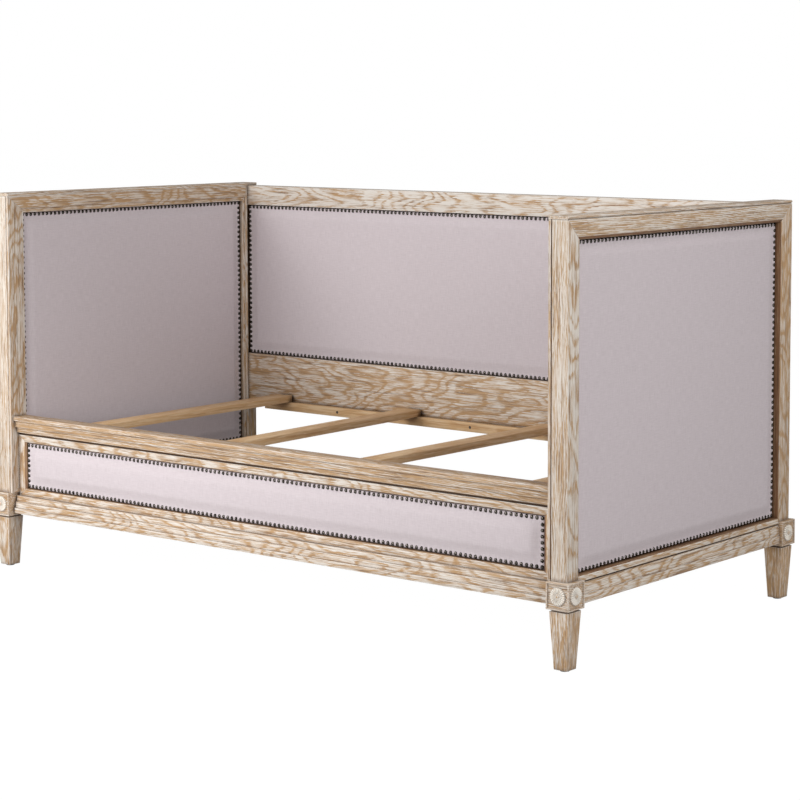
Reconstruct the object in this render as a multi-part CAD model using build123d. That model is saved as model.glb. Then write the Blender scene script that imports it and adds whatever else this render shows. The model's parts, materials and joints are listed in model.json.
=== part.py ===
"""Upholstered twin daybed: three panelled walls, a low front rail, loose slats.

Frame: millimetres, +Z up, the front faces -Y and the right arm is at +X.
The origin is on the floor under the centre of the daybed.
"""
import os
from math import atan2, degrees

from build123d import *

# ---- driving dimensions (mm) ----
INNER_LENGTH = 1970.0        # between the two arms' inner faces, for a 1905 mm mattress
OUTER_DEPTH = 1068.0         # front post face to rear post face
ARM_HEIGHT = 1118.0          # floor to the top of the arms
BACK_DROP = 9.0              # how far the back's top lies under the arms' top

FRONT_POST_WIDTH = 47.0      # post face seen from outside
REAR_POST_WIDTH = 60.0
POST_THICK = 51.0            # along X
ARM_TOP_RAIL = 50.0
ARM_CAP = 9.0
CAP_GROOVE = 2.5             # shadow line under the cap, high and deep

INNER_FRAME_THICK = 9.0      # flat of the applied frame inside the arm
INNER_FRAME_FLAT = 50.0
INNER_BEAD_WIDTH = 13.0
INNER_BEAD_THICK = 5.0
INNER_FRAME_BOTTOM = 40.0
INNER_FRAME_REAR = 19.0      # what shows of the frame beside the back panel

BLOCK = 69.0                 # corner block cube
BLOCK_PROUD = 13.0           # block stands out from the post faces
BLOCK_BOTTOM = 155.0         # height of the block's underside
ROSETTE_MARGIN = 4.5         # rim round the sunk square on a block
ROSETTE_DEPTH = 3.5
ROSETTE_RADIUS = 23.0
ROSETTE_PETALS = 22
ROSETTE_BOSS = (5.0, 1.8)     # radius and height of the button in the middle

LEG_TOP = 57.0
LEG_FOOT = 40.0
LEG_NECK = 48.0              # the waist between leg and block
NECK_HEIGHT = 5.0
GLIDE_RADIUS = 12.5
GLIDE_HEIGHT = 4.0
GLIDE_PIN_RADIUS = 1.5
GLIDE_PIN_LENGTH = 14.0

RAIL_BOTTOM = 163.0          # underside of the arms' and the front's base
BASE_HEIGHT = 52.0           # stepped base moulding
BASE_GROOVE = 3.0            # shadow line over the base
ARM_FABRIC_BOTTOM = 234.0    # lower edge of the outer arm fabric
ARM_BASE_PROUD = (2.0, 5.0)  # base moulding steps out from the post face

BOARD_THICK = 12.0           # arm panel board
INNER_PAD_ROOM = 12.0        # from the board to the post's inner face
PAD_CLEAR = 0.5
PAD_SLOPE = 14.0             # width over which the pad rises from its nailed border
OUTER_PAD = (10.0, 15.0)     # thickness at the nailed border and at the crown
INNER_PAD = (5.0, 12.0)
BACK_PAD = (8.0, 12.0)
FRONT_PAD = (5.0, 8.0)

NAIL_RADIUS = 5.2
NAIL_DOME = 2.8
NAIL_SHANK_RADIUS = 0.9
NAIL_SHANK = 13.0
NAIL_PITCH = 16.0
NAIL_INSET = 7.0             # nail centre to the edge of the pad

BACK_THICK = 45.0            # back panel along Y
BACK_TOP_RAIL = 63.0
BACK_FABRIC_HEIGHT = 493.0
BACK_RAIL_BOTTOM = 380.0     # underside of the wide lower rail
BACK_PAD_RECESS = 6.0        # nailed border behind the rails' faces
BACK_BOARD_THICK = 14.0
BACK_STILE = 40.0

FRONT_TOP = 454.0            # top of the front rail's cap
FRONT_CAP_HEIGHTS = (13.0, 20.0, 16.0)   # cap steps from the top down
FRONT_CAP_SETBACKS = (7.0, 14.0, 20.0)   # each step behind the post face
FRONT_REVEAL = 7.0           # shadow gap under the cap
FRONT_FRAME_SETBACK = 28.0
FRONT_FRAME_THICK = 10.0
FRONT_FRAME_TOP = 23.0
FRONT_FRAME_SIDE = 32.0
FRONT_BOARD_THICK = 20.0
FRONT_BASE_HEIGHTS = (18.0, 18.0, 16.0)  # base steps from the top down
FRONT_BASE_SETBACKS = (17.0, 12.0, 7.0)

LEDGER_THICK = 25.0
LEDGER_HEIGHT = 28.0
LEDGER_TOP = 406.0
LEDGER_END_GAP = 95.0        # ledger stops short of each arm
SLAT_WIDTH = 60.0
SLAT_THICK = 22.0
SLAT_END_MARGIN = 175.0      # arm to the middle of the first slat
SLAT_FRONT_GAP = 4.0
SLAT_REAR_GAP = 8.0          # keeps a lifted slat clear of the nail heads
SLAT_LAY = ((5.0, -3.0), (26.0, -1.0), (-14.0, 0.0), (26.0, 26.0))  # loose slats: shift at front, rear

SCREW_SHIFT = -33.0          # ledger screws, from midway between two slats
SCREW_HEAD = 4.5
SCREW_RADIUS = 2.5
SCREW_LENGTH = 42.0
DOWEL_RADIUS = 5.0
DOWEL_LENGTH = 60.0
LEG_BOLT_RADIUS = 4.0
LEG_BOLT_LENGTH = 75.0
HOLE_CLEAR = 0.1

# ---- planes worked out from them ----
arm_in = INNER_LENGTH / 2                     # inner face of the applied frame
post_in = arm_in + INNER_FRAME_THICK          # inner face of posts
post_out = post_in + POST_THICK               # outer face of posts
front = -OUTER_DEPTH / 2
rear = OUTER_DEPTH / 2
back_face = rear - BACK_THICK                 # front face of the back panel
block_top = BLOCK_BOTTOM + BLOCK
block_out_x = post_out + BLOCK_PROUD
block_mid_x = block_out_x - BLOCK / 2
block_mid_y = rear + BLOCK_PROUD - BLOCK / 2
block_side_y = rear + BLOCK_PROUD - BLOCK     # side face that the rails meet
rail_top = ARM_HEIGHT - ARM_CAP               # top of posts and of the arm's top rail
fabric_top = rail_top - ARM_TOP_RAIL
base_top = RAIL_BOTTOM + BASE_HEIGHT
board_in = post_in + INNER_PAD_ROOM
board_out = board_in + BOARD_THICK
opening_front = front + FRONT_POST_WIDTH      # outer arm panel
opening_rear = rear - REAR_POST_WIDTH
inner_front = front + INNER_FRAME_FLAT + INNER_BEAD_WIDTH   # inner arm panel
inner_rear = back_face - INNER_FRAME_REAR
inner_bottom = block_top + INNER_FRAME_BOTTOM
back_top = ARM_HEIGHT - BACK_DROP
back_fabric_top = back_top - BACK_TOP_RAIL
back_fabric_bottom = back_fabric_top - BACK_FABRIC_HEIGHT
back_board_front = back_face + BACK_PAD_RECESS + BACK_PAD[0]
back_board_rear = back_board_front + BACK_BOARD_THICK
front_frame_face = front + FRONT_FRAME_SETBACK
front_board_face = front_frame_face + FRONT_FRAME_THICK
front_inside = front_board_face + FRONT_BOARD_THICK
front_cap_bottom = FRONT_TOP - sum(FRONT_CAP_HEIGHTS)
front_frame_top = front_cap_bottom - FRONT_REVEAL
front_fabric_top = front_frame_top - FRONT_FRAME_TOP
front_fabric_bottom = ARM_FABRIC_BOTTOM + 4.0


# ---- helpers ----
def block(x, y, z):
    """A box given by its (low, high) range along each axis."""
    size = [high - low for low, high in (x, y, z)]
    return Pos(*[(low + high) / 2 for low, high in (x, y, z)]) * Box(*size)


def extruded(points, plane, length):
    """A closed outline in a plane, extruded along the plane's normal."""
    return extrude(plane * Polygon(*points, align=None), length, dir=plane.z_dir)


def mirrored(shape):
    """The left arm's copy of a right arm piece."""
    return mirror(shape, about=Plane.YZ)


def side_plane(x):
    """Plane with u along +Y, v along +Z and its normal along +X."""
    return Plane(origin=(x, 0, 0), x_dir=(0, 1, 0), z_dir=(1, 0, 0))


def mitred_frame(plane, outer, inner, thick):
    """Four mitred members; outer and inner are (u0, v0, u1, v1) rectangles."""
    def corners(r):
        return [(r[0], r[1]), (r[2], r[1]), (r[2], r[3]), (r[0], r[3])]
    o, i = corners(outer), corners(inner)
    return [extruded([o[k], o[k - 3], i[k - 3], i[k]], plane, thick) for k in range(4)]


def pad(plane, u, v, thick):
    """Cushion on a plane: a thin nailed border and a crowned field inside it."""
    border, crown = thick
    width, height = u[1] - u[0], v[1] - v[0]
    centre = plane * Pos((u[0] + u[1]) / 2, (v[0] + v[1]) / 2)
    inset = 2 * (NAIL_INSET + NAIL_RADIUS)
    base = extrude(centre * Rectangle(width, height), border, dir=plane.z_dir)
    low = centre * Pos(0, 0, border) * Rectangle(width - inset, height - inset)
    high = centre * Pos(0, 0, crown) * Rectangle(width - inset - 2 * PAD_SLOPE,
                                                 height - inset - 2 * PAD_SLOPE)
    return base + loft([low, high])


def nail():
    """Domed nail with its shank, head seated on z = 0."""
    curve = (NAIL_RADIUS ** 2 + NAIL_DOME ** 2) / (2 * NAIL_DOME)
    dome = Pos(0, 0, NAIL_DOME - curve) * Sphere(curve) & Pos(0, 0, curve) * Box(
        4 * curve, 4 * curve, 2 * curve)
    return dome + Pos(0, 0, -NAIL_SHANK / 2) * Cylinder(NAIL_SHANK_RADIUS, NAIL_SHANK)


def nail_row(plane, u, v, lift, one=nail()):
    """Evenly spaced nails round the border of a pad that covers u by v."""
    u0, u1 = u[0] + NAIL_INSET, u[1] - NAIL_INSET
    v0, v1 = v[0] + NAIL_INSET, v[1] - NAIL_INSET
    across = max(round((u1 - u0) / NAIL_PITCH), 1)
    up = max(round((v1 - v0) / NAIL_PITCH), 1)
    spots = [(u0 + (u1 - u0) * k / across, v) for k in range(across + 1) for v in (v0, v1)]
    spots += [(u, v0 + (v1 - v0) * k / up) for k in range(1, up) for u in (u0, u1)]
    return Compound([plane * Pos(a, b, lift) * one for a, b in spots])


def stepped(heights, setbacks, top, back, face):
    """Outline (y, z) of a moulding whose steps run from the top down."""
    points, z = [(back, top)], top
    for height, setback in zip(heights, setbacks):
        points += [(face + setback, z), (face + setback, z - height)]
        z -= height
    return points + [(back, z)]


def dowel_x(x, y, z, clear=0.0):
    return Pos(x, y, z) * Rot(0, 90, 0) * Cylinder(DOWEL_RADIUS + clear, DOWEL_LENGTH + 2 * clear)


def dowel_y(x, y, z, clear=0.0):
    return Pos(x, y, z) * Rot(90, 0, 0) * Cylinder(DOWEL_RADIUS + clear, DOWEL_LENGTH + 2 * clear)


def dowel_z(x, y, z, clear=0.0):
    return Pos(x, y, z) * Cylinder(DOWEL_RADIUS + clear, DOWEL_LENGTH + 2 * clear)


# ---- joints between rails and posts, right-hand side ----
front_dowel_y = front_board_face + FRONT_BOARD_THICK / 2
front_dowel_z = (inner_bottom + 6.0, FRONT_TOP - 55.0)
back_dowel_y = back_face + BACK_THICK / 2
back_dowel_z = (BACK_RAIL_BOTTOM + 45.0, back_fabric_bottom - 45.0, back_top - BACK_TOP_RAIL / 2)
post_mid_x = (post_in + post_out) / 2
post_dowel_y = rear - FRONT_POST_WIDTH / 2
bottom_dowel_x = (post_in + board_out) / 2 + 4.0
bottom_dowel_z = RAIL_BOTTOM + 27.0


def rail_dowels(clear=0.0):
    """Dowels that join the front rail, back rails and arm bottom rail to their posts."""
    pegs = [dowel_x(arm_in, front_dowel_y, z, clear) for z in front_dowel_z]
    pegs += [dowel_x(post_in, back_dowel_y, z, clear) for z in back_dowel_z]
    pegs += [dowel_y(bottom_dowel_x, y, bottom_dowel_z, clear) for y in (-block_side_y, block_side_y)]
    return pegs


def post_dowels(clear=0.0):
    """Upright dowels between each post and its corner block."""
    z = block_top + 8.0
    return [dowel_z(post_mid_x, y, z, clear) for y in (-post_dowel_y, post_dowel_y)]


def leg_bolts(clear=0.0):
    """Hanger bolts that hold the legs to the corner blocks."""
    bolt = Cylinder(LEG_BOLT_RADIUS + clear, LEG_BOLT_LENGTH + 2 * clear)
    z = BLOCK_BOTTOM - LEG_BOLT_LENGTH / 2 + 30.0
    return [Pos(block_mid_x, y, z) * bolt for y in (-block_mid_y, block_mid_y)]


def glides():
    """Nail-on glides under the legs."""
    disc = Pos(0, 0, GLIDE_HEIGHT / 2) * Cylinder(GLIDE_RADIUS, GLIDE_HEIGHT)
    disc = chamfer(disc.edges().group_by(Axis.Z)[0], 1.0)
    pin_mid = GLIDE_HEIGHT + GLIDE_PIN_LENGTH / 2
    glide = disc + Pos(0, 0, pin_mid) * Cylinder(GLIDE_PIN_RADIUS, GLIDE_PIN_LENGTH)
    return [Pos(block_mid_x, y, 0) * glide for y in (-block_mid_y, block_mid_y)]


def screw(clear=0.0):
    """Countersunk screw along +Y, its head flush with y = 0."""
    head = Cone(SCREW_RADIUS + clear, SCREW_HEAD + clear, SCREW_HEAD - SCREW_RADIUS)
    depth = SCREW_HEAD - SCREW_RADIUS
    shank = Pos(0, 0, -SCREW_LENGTH / 2) * Cylinder(SCREW_RADIUS + clear, SCREW_LENGTH)
    return Rot(90, 0, 0) * (Pos(0, 0, -depth / 2) * head + shank)


def cut(piece, tools):
    """Cut each tool out of a piece that it reaches."""
    for tool in tools:
        piece = piece - tool
    return piece


# ---- right arm ----
def arm_post(at_front):
    """Post with its mitred top and the hidden rebate strip behind the outer pad."""
    if at_front:
        face, edge, strip = front, opening_front, inner_front
    else:
        face, edge, strip = rear, opening_rear, inner_rear
    outline = [(face, block_top), (face, rail_top), (edge, fabric_top), (edge, block_top)]
    post = extruded(outline, side_plane(post_in), POST_THICK)
    if abs(strip) < abs(edge):
        rebate = block((post_in, board_out), sorted((edge, strip)), (block_top, fabric_top))
        post = post + rebate
    return cut(post, rail_dowels(HOLE_CLEAR) + post_dowels(HOLE_CLEAR))


def arm_top_rail():
    outline = [(front, rail_top), (rear, rail_top), (opening_rear, fabric_top),
               (opening_front, fabric_top)]
    return extruded(outline, side_plane(post_in), POST_THICK)


def arm_top_cap():
    """Thin board over posts and top rail, with a shadow groove along its outer edge."""
    cap = block((arm_in, post_out), (front, rear), (rail_top, ARM_HEIGHT))
    groove = block((post_out - CAP_GROOVE, post_out + 1), (front - 1, rear + 1),
                   (rail_top - 1, rail_top + CAP_GROOVE))
    return cap - groove


def arm_bottom_rail():
    """Rail between the corner blocks, with an upper lip behind the pads."""
    body = block((post_in, board_out + 14.0), (-block_side_y, block_side_y), (RAIL_BOTTOM, block_top))
    lip = block((post_in, post_out), (inner_front, inner_rear),
                (base_top + BASE_GROOVE, ARM_FABRIC_BOTTOM))
    ends = block((board_out, post_out), (opening_front, opening_rear), (block_top, ARM_FABRIC_BOTTOM))
    sill = block((board_out, post_out), (-block_side_y, block_side_y),
                 (base_top + BASE_GROOVE, block_top))
    backing = block((post_in, board_in), (inner_front, inner_rear), (ARM_FABRIC_BOTTOM, inner_bottom))
    return cut(body + lip + ends + sill + backing, rail_dowels(HOLE_CLEAR))


def arm_base_moulding():
    """Two-step base along the arm's outer face, between the corner blocks."""
    inside = board_out + 14.0
    mid = RAIL_BOTTOM + BASE_HEIGHT * 0.42
    steps = [post_out + proud for proud in ARM_BASE_PROUD]
    outline = [(inside, RAIL_BOTTOM), (steps[1], RAIL_BOTTOM), (steps[1], mid), (steps[0], mid),
               (steps[0], base_top - 5.0), (post_out - 3.0, base_top), (inside, base_top)]
    plane = Plane(origin=(0, block_side_y, 0), x_dir=(1, 0, 0), z_dir=(0, -1, 0))
    return extruded(outline, plane, 2 * block_side_y)


def arm_inner_frame():
    """Mitred flat frame with a lower bead towards the fabric, each side one solid."""
    outer = (front, block_top, back_face, rail_top)
    inner = (inner_front, inner_bottom, inner_rear, fabric_top)
    bead = INNER_BEAD_WIDTH
    line = (inner_front - bead, inner_bottom - bead, inner_rear + bead * 0.7, fabric_top + bead)
    flats = mitred_frame(side_plane(arm_in), outer, line, INNER_FRAME_THICK)
    beads = mitred_frame(side_plane(post_in - INNER_BEAD_THICK), line, inner, INNER_BEAD_THICK)
    holes = rail_dowels(HOLE_CLEAR)
    return Compound([cut(flat + edge, holes) for flat, edge in zip(flats, beads)])


def arm_board():
    return block((board_in, board_out), (inner_front, inner_rear), (ARM_FABRIC_BOTTOM, fabric_top))


def spread(low, high):
    """A range shrunk by the pad's clearance at each end."""
    return low + PAD_CLEAR, high - PAD_CLEAR


outer_panel = (spread(opening_front, opening_rear), spread(ARM_FABRIC_BOTTOM, fabric_top))
inner_panel = (spread(-inner_rear, -inner_front), spread(inner_bottom, fabric_top))
outer_plane = side_plane(board_out)
inner_plane = Plane(origin=(board_in, 0, 0), x_dir=(0, -1, 0), z_dir=(-1, 0, 0))


def rosette():
    """Carved disc of petals with a centre boss, standing on z = 0."""
    petal = ROSETTE_RADIUS * 3.14159 / (ROSETTE_PETALS + 3.14159)
    ring = ROSETTE_RADIUS - petal
    outline = Circle(ring)
    for spot in PolarLocations(ring, ROSETTE_PETALS):
        outline += spot * Circle(petal * 0.98)
    height = ROSETTE_DEPTH * 0.8
    disc = extrude(outline, height)
    boss = Pos(0, 0, height) * extrude(Circle(ROSETTE_BOSS[0]), ROSETTE_BOSS[1], taper=30)
    return disc - Pos(0, 0, height) * Torus(ring * 0.55, 1.2) + boss


def corner_block(flower):
    """Front right block: sunk square and rosette on its front and outer faces."""
    cube = Box(BLOCK, BLOCK, BLOCK)
    half, side = BLOCK / 2, BLOCK - 2 * ROSETTE_MARGIN
    for turn in (Rot(0, 90, 0), Rot(90, 0, 0)):
        cube = cube - turn * Pos(0, 0, half) * Box(side, side, 2 * ROSETTE_DEPTH)
        cube = cube + turn * Pos(0, 0, half - ROSETTE_DEPTH) * flower
    cube = Pos(block_mid_x, -block_mid_y, BLOCK_BOTTOM + half) * cube
    return cut(cube, rail_dowels(HOLE_CLEAR) + post_dowels(HOLE_CLEAR) + leg_bolts(HOLE_CLEAR))


def leg():
    """Square leg tapered on all four sides, with a narrower neck."""
    neck_bottom = BLOCK_BOTTOM - NECK_HEIGHT
    foot = Pos(0, 0, GLIDE_HEIGHT) * Rectangle(LEG_FOOT, LEG_FOOT)
    top = Pos(0, 0, neck_bottom) * Rectangle(LEG_TOP, LEG_TOP)
    neck = Pos(0, 0, neck_bottom + NECK_HEIGHT / 2) * Box(LEG_NECK, LEG_NECK, NECK_HEIGHT)
    placed = Pos(block_mid_x, -block_mid_y, 0) * (loft([foot, top]) + neck)
    return cut(placed, leg_bolts(HOLE_CLEAR))


def to_rear(shape):
    """The rear copy of a front corner piece."""
    return mirror(shape, about=Plane.XZ)


right_arm = {
    "front_post": arm_post(True),
    "rear_post": arm_post(False),
    "top_rail": arm_top_rail(),
    "top_cap": arm_top_cap(),
    "bottom_rail": arm_bottom_rail(),
    "base_moulding": arm_base_moulding(),
    "inner_frame": arm_inner_frame(),
    "panel_board": arm_board(),
    "outer_pad": pad(outer_plane, *outer_panel, OUTER_PAD),
    "inner_pad": pad(inner_plane, *inner_panel, INNER_PAD),
    "outer_nails": nail_row(outer_plane, *outer_panel, OUTER_PAD[0]),
    "inner_nails": nail_row(inner_plane, *inner_panel, INNER_PAD[0]),
}
front_block, front_leg = corner_block(rosette()), leg()
right_corners = {
    "front_corner_block": front_block,
    "rear_corner_block": to_rear(front_block),
    "front_leg": front_leg,
    "rear_leg": to_rear(front_leg),
}

# ---- back ----
back_span = (-post_in, post_in)
both_sides = [f(d) for d in rail_dowels(HOLE_CLEAR) for f in (lambda s: s, mirrored)]
back_bottom_rail = block(back_span, (back_face, rear), (BACK_RAIL_BOTTOM, back_fabric_bottom))
back_top_rail = block(back_span, (back_face, rear), (back_fabric_top, back_top))
back_height = (back_fabric_bottom, back_fabric_top)
back_depth = (back_board_front, back_board_rear)
back_stile = block((post_in - BACK_STILE, post_in), back_depth, back_height)
back_board = block((-post_in + BACK_STILE, post_in - BACK_STILE), back_depth, back_height)
back_inner_plane = Plane(origin=(0, back_board_front, 0), x_dir=(1, 0, 0), z_dir=(0, -1, 0))
back_outer_plane = Plane(origin=(0, back_board_rear, 0), x_dir=(-1, 0, 0), z_dir=(0, 1, 0))
back_inner_panel = (spread(-arm_in, arm_in), spread(*back_height))
back_outer_panel = (spread(*back_span), spread(*back_height))
ledger_span = (-arm_in + LEDGER_END_GAP, arm_in - LEDGER_END_GAP)
ledger_z = (LEDGER_TOP - LEDGER_HEIGHT, LEDGER_TOP)
slat_pitch = (INNER_LENGTH - 2 * SLAT_END_MARGIN) / (len(SLAT_LAY) - 1)
slat_x = [-arm_in + SLAT_END_MARGIN + slat_pitch * k for k in range(len(SLAT_LAY))]
screw_x = [(a + b) / 2 + SCREW_SHIFT for a, b in zip(slat_x, slat_x[1:])]
ledger_mid = LEDGER_TOP - LEDGER_HEIGHT / 2


def ledger_screws(clear=0.0):
    """Screws through each ledger into its rail: (front set, back set)."""
    back_set = [Pos(x, back_face - LEDGER_THICK, ledger_mid) * screw(clear) for x in screw_x]
    front_set = [Pos(x, front_inside + LEDGER_THICK, ledger_mid) * Rot(0, 0, 180) * screw(clear)
                 for x in screw_x]
    return front_set, back_set


front_holes, back_holes = ledger_screws(HOLE_CLEAR)
back = {
    "back_top_rail": cut(back_top_rail, both_sides),
    "back_bottom_rail": cut(back_bottom_rail, both_sides),
    "back_stiles": Compound([back_stile, mirrored(back_stile)]),
    "back_panel_board": back_board,
    "back_inner_pad": pad(back_inner_plane, *back_inner_panel, BACK_PAD),
    "back_outer_pad": pad(back_outer_plane, *back_outer_panel, BACK_PAD),
    "back_inner_nails": nail_row(back_inner_plane, *back_inner_panel, BACK_PAD[0]),
    "back_outer_nails": nail_row(back_outer_plane, *back_outer_panel, BACK_PAD[0]),
    "back_ledger": cut(block(ledger_span, (back_face - LEDGER_THICK, back_face), ledger_z), back_holes),
}

# ---- front rail ----
front_span = (-arm_in, arm_in)
section = side_plane(-arm_in)
cap_line = stepped(FRONT_CAP_HEIGHTS, FRONT_CAP_SETBACKS, FRONT_TOP, front_inside, front)
slab_bottom = FRONT_TOP - FRONT_CAP_HEIGHTS[0]
cap_line = cap_line[:-1] + [(front_board_face, front_cap_bottom), (front_board_face, slab_bottom),
                            (front_inside, slab_bottom)]
front_cap = extruded(cap_line, section, INNER_LENGTH)
base_line = stepped(FRONT_BASE_HEIGHTS, FRONT_BASE_SETBACKS, base_top, front_board_face, front)
front_base = extruded(base_line, section, INNER_LENGTH)
front_board = block(front_span, (front_board_face, front_inside), (RAIL_BOTTOM, slab_bottom))
front_plane = Plane(origin=(0, front_board_face, 0), x_dir=(1, 0, 0), z_dir=(0, -1, 0))
front_opening = (-arm_in + FRONT_FRAME_SIDE, front_fabric_bottom, arm_in - FRONT_FRAME_SIDE,
                 front_fabric_top)
front_frame = mitred_frame(front_plane, (-arm_in, base_top, arm_in, front_frame_top),
                           front_opening, FRONT_FRAME_THICK)
front_panel = (spread(front_opening[0], front_opening[2]), spread(front_opening[1], front_opening[3]))
front_ledger = block(ledger_span, (front_inside, front_inside + LEDGER_THICK), ledger_z)
front_rail = {
    "front_cap_moulding": front_cap,
    "front_base_moulding": front_base,
    "front_rail_board": cut(front_board, both_sides),
    "front_frame": Compound(front_frame),
    "front_pad": pad(front_plane, *front_panel, FRONT_PAD),
    "front_nails": nail_row(front_plane, *front_panel, FRONT_PAD[0]),
    "front_ledger": cut(front_ledger, front_holes),
}

# ---- slats ----
slat_front = front_inside + SLAT_FRONT_GAP
slat_rear = back_face - SLAT_REAR_GAP
slat_length = slat_rear - slat_front


def slat(x, lay):
    """A loose slat resting on both ledgers, shifted as it was laid."""
    at_front, at_rear = lay
    turn = degrees(atan2(at_front - at_rear, slat_length))
    middle = (x + (at_front + at_rear) / 2, (slat_front + slat_rear) / 2, LEDGER_TOP + SLAT_THICK / 2)
    return Pos(*middle) * Rot(0, 0, turn) * Box(SLAT_WIDTH, slat_length, SLAT_THICK)


slats = {f"slat_{k + 1}": slat(x, lay) for k, (x, lay) in enumerate(zip(slat_x, SLAT_LAY))}

# ---- fasteners and glides ----
front_screws, back_screws = ledger_screws()


def on_both_sides(pieces):
    return Compound(list(pieces) + [mirrored(piece) for piece in pieces])


fasteners = {
    "front_ledger_screws": Compound(front_screws),
    "back_ledger_screws": Compound(back_screws),
    "rail_dowels": on_both_sides(rail_dowels()),
    "post_dowels": on_both_sides(post_dowels()),
    "leg_bolts": on_both_sides(leg_bolts()),
    "foot_glides": on_both_sides(glides()),
}

# ---- export ----
nodes = {}
for name, shape in right_arm.items():
    nodes[f"right_arm_{name}"] = shape
    nodes[f"left_arm_{name}"] = mirrored(shape)
for name, shape in right_corners.items():
    nodes[f"right_{name}"] = shape
    nodes[f"left_{name}"] = mirrored(shape)
for group in (back, front_rail, slats, fasteners):
    nodes.update(group)

os.makedirs("parts", exist_ok=True)
for name, shape in nodes.items():
    export_step(shape, f"parts/{name}.step")
print(len(nodes), "nodes")
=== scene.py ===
"""Looks of the upholstered daybed: limed oak, linen panels, bronze nailheads.

Metres, +Z up, the front faces -Y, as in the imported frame.
"""
import json
import math

import bmesh
import bpy
import numpy as np
from mathutils import Euler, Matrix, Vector

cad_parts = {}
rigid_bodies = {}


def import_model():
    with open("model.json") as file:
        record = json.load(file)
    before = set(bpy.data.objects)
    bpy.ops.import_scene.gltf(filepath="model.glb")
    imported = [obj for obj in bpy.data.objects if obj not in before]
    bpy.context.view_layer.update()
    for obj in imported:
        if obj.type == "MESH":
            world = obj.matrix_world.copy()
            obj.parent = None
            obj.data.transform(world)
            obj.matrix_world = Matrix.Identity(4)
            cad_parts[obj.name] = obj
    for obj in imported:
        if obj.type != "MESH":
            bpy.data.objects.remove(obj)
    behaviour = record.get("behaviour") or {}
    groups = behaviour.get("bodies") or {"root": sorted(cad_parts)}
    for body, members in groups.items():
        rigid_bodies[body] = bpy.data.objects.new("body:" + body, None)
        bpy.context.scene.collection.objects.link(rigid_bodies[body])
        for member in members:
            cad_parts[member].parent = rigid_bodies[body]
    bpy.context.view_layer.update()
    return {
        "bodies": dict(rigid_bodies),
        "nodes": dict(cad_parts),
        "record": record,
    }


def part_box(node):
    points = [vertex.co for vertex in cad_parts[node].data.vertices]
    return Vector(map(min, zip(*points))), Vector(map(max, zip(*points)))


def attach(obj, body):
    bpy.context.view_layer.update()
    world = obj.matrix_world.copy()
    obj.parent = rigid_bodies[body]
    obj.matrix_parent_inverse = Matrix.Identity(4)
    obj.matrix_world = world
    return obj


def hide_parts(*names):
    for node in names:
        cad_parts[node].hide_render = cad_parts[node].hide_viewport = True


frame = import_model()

nodes = frame["nodes"]
body_of_node = {n: body for body, empty in frame["bodies"].items() for n in nodes
                if nodes[n].parent is empty}
slot_of_node = {s["node"]: s["material_slot"] for s in frame["record"]["subparts"]}

# ---- sizes, metres ----
NAIL_RADIUS = 0.0052
NAIL_DOME = 0.0028
NAIL_PITCH = 0.016
NAIL_INSET = 0.007
NAIL_SIDES = 10
NAIL_PROFILE = ((1.0, -0.1), (1.0, 0.12), (0.88, 0.5), (0.58, 0.86))   # radius, height shares
NAIL_STRAY = 0.0004          # hand-driven nails miss their mark by up to this
PAD_GRID = 0.004             # fine enough for four points between two nails
PAD_SLOPE = 0.034            # width of the rise from the nails to the field
PAD_EDGE = 0.004             # rounding where the fabric turns under
PUCKER = 0.0009              # how far the fabric dips at a nail
PUCKER_REACH = 0.010
RISE_START = NAIL_INSET + 0.6 * NAIL_RADIUS    # the field starts to rise under the nails' rims
EDGE_SHARE = 0.15            # share of the border's height that the fabric has at its edge
SWELL = 0.0045               # how far the simulated field stands over its padding
SIM_GRID = 0.022
SIM_FRAMES = 16
CLOTH = {"quality": 6, "mass": 0.3, "tension_stiffness": 40, "compression_stiffness": 40,
         "use_pressure": True, "uniform_pressure_force": 4}
LEAST_RISE = 0.0005          # a simulated sheet that rises less than this has failed
EDGE_ROUND = 0.0014          # worn edges of the joinery
LEAST_ARRIS = 0.012          # a shorter edge stays sharp
LEAST_TURN = 0.4             # and so does one where the faces turn by less, radians
SNAP = 0.0003                # a board whose arris is this near to a strip's is planed there
STEPS_PER_METRE = 1e5        # corners that round to the same step are one corner
FLAT = 0.01                  # triangles that turn by less are one face, radians
PAD_GAP = 0.0005             # between a pad and the frame round it
STAIN_AND_SHADE_REACH = 0.0022         # faces this near to the fabric's outline take the brown of stain and painted shade
STAIN_AND_SHADE_DEPTH = 0.03           # if they are no further than this in front of the pad or behind
WAX_SPREAD = 0.2             # boards differ by up to this much in wax, either way
# strips coloured brown as stain and painted shade: width over the face, depth down into the
# opening
FRONT_STRIP, FRONT_TOP_STRIP = (0.008, 0.004), (0.003, 0.004)
ARM_STRIP, ARM_TOP_STRIP = (0.0085, 0.0025), (0.0085, 0.0045)
POST_SEAM, FRAME_SEAM = (0.0025, 0.003), (0.0015, 0.003)
BLOCK = 0.069                # side of a corner block without its buttons
ROSETTE_RADIUS = 0.0232
ROSETTE_PETALS = 22
ROSETTE_PROUD = 0.0045       # carving over the sunk square that it stands in
ROSETTE_SUNK = 0.0035        # that square under the block's face
ROSETTE_SEED = 77
BOSS_RINGS, PETAL_RINGS, STEPS_PER_PETAL = 5, 13, 8
BOSS_REACH = 0.23            # shares of the rosette's radius
PETAL_MIDDLE, PETAL_HALF = 0.62, 0.385
RIDGE_POWER = 0.55           # under 1, so that a petal is round and the cut beside it sharp
CUT_SHARE = 0.35             # height left in the cuts between petals
BOSS_HIGH, PETAL_HIGH = 1.15, 0.95             # shares of ROSETTE_PROUD
SCALLOP = 0.05               # how far the rim draws in between petals

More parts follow.
